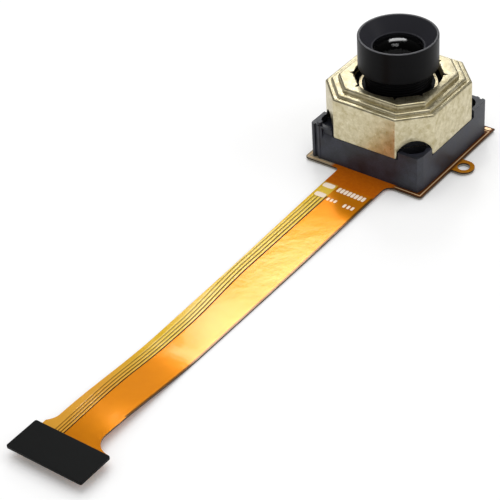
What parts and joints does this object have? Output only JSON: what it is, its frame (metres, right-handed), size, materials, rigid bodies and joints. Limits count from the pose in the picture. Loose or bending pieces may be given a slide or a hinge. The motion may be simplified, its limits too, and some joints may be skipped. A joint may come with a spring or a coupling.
{
  "type": "camera module",
  "caption": "Autofocus camera module: square sensor head with an octagonal voice-coil motor and a round lens barrel, on a long flex tail ending in a board-to-board plug.",
  "frame": {"origin": "on the optical axis, at the underside of the steel stiffener under the head", "axes": "+Z out of the lens along the optical axis, +Y from the connector towards the head, +X towards the side with the fixing ear"},
  "size_m": [0.0186, 0.0754, 0.0158],
  "materials": {
    "stiffener_steel": "satin",
    "polyimide_flex": "glossy amber film",
    "black_laminate": "matt",
    "plug_plastic": "matt",
    "gold_plate": "gold plated",
    "silicon": "polished",
    "chip_epoxy": "matt",
    "capacitor_ceramic": "satin",
    "base_plastic": "satin",
    "filter_glass": "polished",
    "motor_plastic": "satin",
    "terminal_alloy": "satin",
    "solder": "bright",
    "spring_alloy": "bright",
    "magnet_nickel": "plated",
    "can_alloy": "champagne-coloured drawn can, satin",
    "carrier_plastic": "satin",
    "coil_copper": "enamelled",
    "barrel_plastic": "satin black",
    "coated_lens": "polished, dark coating",
    "lens_plastic": "polished",
    "black_film": "matt"
  },
  "bodies": {
    "housing": {"head_stiffener": "stiffener_steel", "fpc": "polyimide_flex", "connector_stiffener": "black_laminate", "connector_housing": "plug_plastic", "connector_contacts": "gold_plate", "connector_hold_downs": "gold_plate", "image_sensor": "silicon", "driver_chip": "chip_epoxy", "capacitors": "capacitor_ceramic", "lens_holder": "base_plastic", "ir_cut_filter": "filter_glass", "vcm_base": "motor_plastic", "terminals": "terminal_alloy", "solder_joints": "solder", "lower_leaf_springs": "spring_alloy", "magnet_frame": "motor_plastic", "magnet_front": "magnet_nickel", "magnet_right": "magnet_nickel", "magnet_back": "magnet_nickel", "magnet_left": "magnet_nickel", "upper_leaf_spring": "spring_alloy", "vcm_can": "can_alloy"},
    "lens_group": {"lens_carrier": "carrier_plastic", "coil": "coil_copper", "lens_barrel": "barrel_plastic", "front_lens": "coated_lens", "aperture_stop": "black_film", "second_lens": "lens_plastic", "front_spacer": "black_film", "third_lens": "lens_plastic", "rear_spacer": "black_film", "rear_lens": "lens_plastic", "rear_retainer": "black_film"}
  },
  "joints": [
    {"name": "focus_slide", "type": "slide", "parent": "housing", "child": "lens_group", "axis": [0, 0, 1], "range_m": [0, 0.00035], "stiffness_N_per_m": 60, "springref_m": -0.0001, "deforming": ["upper_leaf_spring", "lower_leaf_springs"]}
  ]
}
